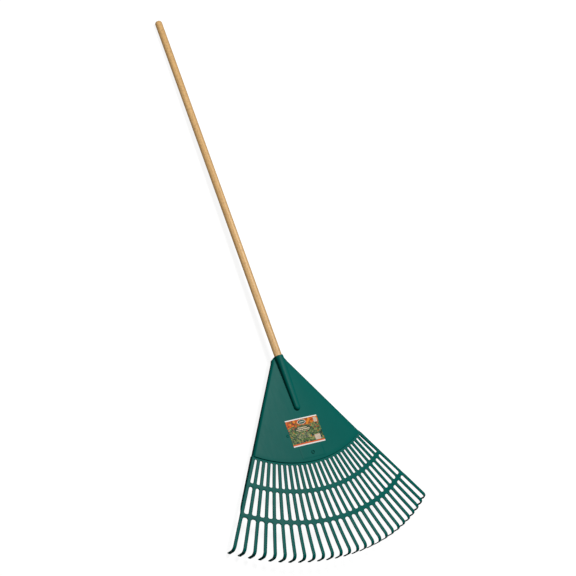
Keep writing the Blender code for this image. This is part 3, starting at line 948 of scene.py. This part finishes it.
def make_handle(material):
    """Turned stick with a tapered end in the socket, a rounded butt and a slightly uneven surface."""
    inner = -MOUTH_Y - HANDLE_INSERTED
    rings = [(inner, HANDLE_END_RADIUS - HANDLE_CHAMFER), (inner + HANDLE_CHAMFER, HANDLE_END_RADIUS)]
    rings.append((-MOUTH_Y - TAPER_START, HANDLE_RADIUS))
    rings += [(y, HANDLE_RADIUS) for y in spread(-MOUTH_Y, BUTT_Y - BUTT_ROUND, 60)]
    steps = 12
    for step in range(1, steps + 1):
        turn = 0.5 * math.pi * step / steps
        radius = BUTT_FLAT + (HANDLE_RADIUS - BUTT_FLAT) * math.cos(turn)
        rings.append((BUTT_Y - BUTT_ROUND * (1.0 - math.sin(turn)), radius))
    bm = turned(rings, 64)
    for vert in bm.verts:
        if vert.co.y > -MOUTH_Y + 0.02 and vert.co.y < BUTT_Y - 0.001:
            push = noise.noise(Vector((vert.co.x * 40.0, vert.co.y * 6.0, vert.co.z * 40.0)))
            shrink = 1.0 - HANDLE_WAVINESS * (0.5 + 0.5 * push) / HANDLE_RADIUS
            vert.co.x *= shrink
            vert.co.z *= shrink
    handle = finish_mesh("turned_handle", bm, material, 60.0)
    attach(handle, "rake")
    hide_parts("handle")
    return handle


def make_screw(material):
    """Pan head screw with a cross recess, under the socket."""
    low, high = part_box("handle_screw")
    shank_top = high.z - low.z
    rings = []
    steps = 6
    for step in range(steps + 1):
        turn = 0.5 * math.pi * step / steps
        radius = 0.6 * SCREW_HEAD_RADIUS + 0.4 * SCREW_HEAD_RADIUS * math.sin(turn)
        rings.append((0.4 * SCREW_HEAD_HEIGHT * (1.0 - math.cos(turn)), radius))
    rings += [(SCREW_HEAD_HEIGHT, SCREW_HEAD_RADIUS), (SCREW_HEAD_HEIGHT, SCREW_RADIUS)]
    threads = spread(SCREW_HEAD_HEIGHT + 0.0006, shank_top - SCREW_RADIUS, 24)
    for index, place in enumerate(threads):
        rings.append((place, SCREW_RADIUS * (1.0 if index % 2 else 0.78)))
    rings.append((shank_top, 0.3 * SCREW_RADIUS))
    turn = TO_ROW.to_3x3().to_4x4()
    seat = Vector((0.0, -SCREW_Y, -socket_radius(SCREW_Y) - GAP - SCREW_HEAD_HEIGHT))
    place = Matrix.Translation(TO_ROW @ seat) @ turn
    screw = finish_mesh("pan_head_screw", turned(rings, 32, "Z"), material, 40.0, place)
    for angle in (0.0, 0.5 * math.pi):
        bm = bmesh.new()
        bmesh.ops.create_cube(bm, size=1.0)
        bmesh.ops.scale(bm, vec=RECESS_SIZE, verts=bm.verts)
        bmesh.ops.rotate(bm, matrix=Matrix.Rotation(angle, 3, "Z"), verts=bm.verts)
        cut(screw, finish_mesh("recess", bm, None, 40.0, place))
    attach(screw, "rake")
    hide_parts("handle_screw")


def make_label(material):
    """The label, a film that follows the panel, with its print laid out in its own UV map."""
    columns = spread(-0.5, 0.5, 30)
    rows = spread(0.5, -0.5, 22)
    points = {}
    for row, v in enumerate(rows):
        for column, u in enumerate(columns):
            points[row, column] = (LABEL_WIDTH * u, -LABEL_Y + LABEL_LENGTH * v)

    def top(x, y, key):
        return panel_top(x, y) + GAP + LABEL_THICK

    def bottom(x, y, key):
        return panel_top(x, y) + 0.5 * GAP

    faces = grid_faces(len(rows), len(columns))
    bm = rounded_sheet(points, faces, top, bottom, 0.00012, low_rim=0.0001)
    layer = bm.loops.layers.uv.new("print")
    for face in bm.faces:
        for loop in face.loops:
            across = loop.vert.co.x / LABEL_WIDTH + 0.5
            along = (loop.vert.co.y + LABEL_Y) / LABEL_LENGTH + 0.5
            loop[layer].uv = (across, along)
    label = finish_mesh("printed_label_film", bm, material)
    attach(label, "rake")
    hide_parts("label")


# Studio


def make_floor():
    """Pale glowing floor, swept up to a wall. It doesn't light or mirror in the rake."""
    m = Nodes("pale_floor")
    tone = m.noise(m.place(), 0.6, detail=2.0)
    m.put(m.shader.inputs["Base Color"], m.mix(tone, rgb(0.20, 0.20, 0.20), rgb(0.21, 0.21, 0.21)))
    m.shader.inputs["Roughness"].default_value = 0.9
    m.shader.inputs["Specular IOR Level"].default_value = 0.1
    m.shader.inputs["Emission Color"].default_value = (1.0, 1.0, 1.0, 1.0)
    m.shader.inputs["Emission Strength"].default_value = FLOOR_GLOW
    m.material.cycles.emission_sampling = "NONE"
    bm = bmesh.new()
    sides = 48
    rings = []
    turns = [2.0 * math.pi * side / sides for side in range(sides)]
    for reach, height in FLOOR_PROFILE:
        places = [(reach * math.cos(turn), reach * math.sin(turn), height) for turn in turns]
        rings.append([bm.verts.new(place) for place in places])
    bm.faces.new(rings[0])
    for low, high in zip(rings, rings[1:]):
        for side in range(sides):
            following = (side + 1) % sides
            bm.faces.new([low[side], high[side], high[following], low[following]])
    mesh = bpy.data.meshes.new("floor")
    bm.to_mesh(mesh)
    bm.free()
    mesh.shade_smooth()
    mesh.materials.append(m.material)
    floor = bpy.data.objects.new("floor", mesh)
    floor.location.z = -FLOOR_DROP
    floor.visible_diffuse = False
    floor.visible_glossy = False
    bpy.context.scene.collection.objects.link(floor)


def add_light(name, target, direction, distance, size, power):
    light = bpy.data.lights.new(name, "AREA")
    light.shape = "DISK"
    light.size = size
    light.energy = power
    lamp = bpy.data.objects.new(name, light)
    towards = Vector(direction).normalized()
    lamp.location = TO_ROW @ Vector(target) + towards * distance
    lamp.rotation_euler = towards.to_track_quat("Z", "Y").to_euler()
    bpy.context.scene.collection.objects.link(lamp)
    return lamp


def make_studio(handle):
    """The floor, a soft light overhead, and a weaker one that is linked to the handle alone."""
    make_floor()
    world = bpy.data.worlds.new("studio")
    world.use_nodes = True
    background = world.node_tree.nodes["Background"]
    background.inputs["Color"].default_value = (1.0, 1.0, 1.0, 1.0)
    background.inputs["Strength"].default_value = WORLD_STRENGTH
    bpy.context.scene.world = world
    add_light("softbox_top", *TOP_LIGHT)
    fill = add_light("softbox_handle", *HANDLE_LIGHT)
    lit = bpy.data.collections.new("lit_by_fill")
    lit.objects.link(handle)
    fill.light_linking.receiver_collection = lit
    bpy.context.scene.view_settings.view_transform = "Standard"


def make_camera():
    camera = bpy.data.cameras.new("camera")
    camera.lens = CAMERA_LENS
    camera.sensor_width = 36.0
    camera.clip_end = 100.0
    holder = bpy.data.objects.new("camera", camera)
    back = CAMERA_RIGHT.cross(CAMERA_UP).normalized()
    right = CAMERA_RIGHT.normalized()
    turn = Matrix((right, back.cross(right), back)).transposed().to_4x4()
    holder.matrix_world = TO_ROW @ Matrix.Translation(CAMERA_PLACE) @ turn
    bpy.context.scene.collection.objects.link(holder)
    bpy.context.scene.camera = holder


def make_rake():
    plastic = plastic_material()
    parts = [make_panel(plastic), make_grid(plastic)] + make_marks(plastic)
    head = merge("moulded_head", parts)
    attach(head, "rake")
    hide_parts("head_panel", "tine_grid")
    for index in range(TINE_COUNT):
        make_tine(index, plastic)
    handle = make_handle(wood_material())
    make_screw(steel_material())
    make_label(label_material())
    return handle


make_camera()
make_studio(make_rake())
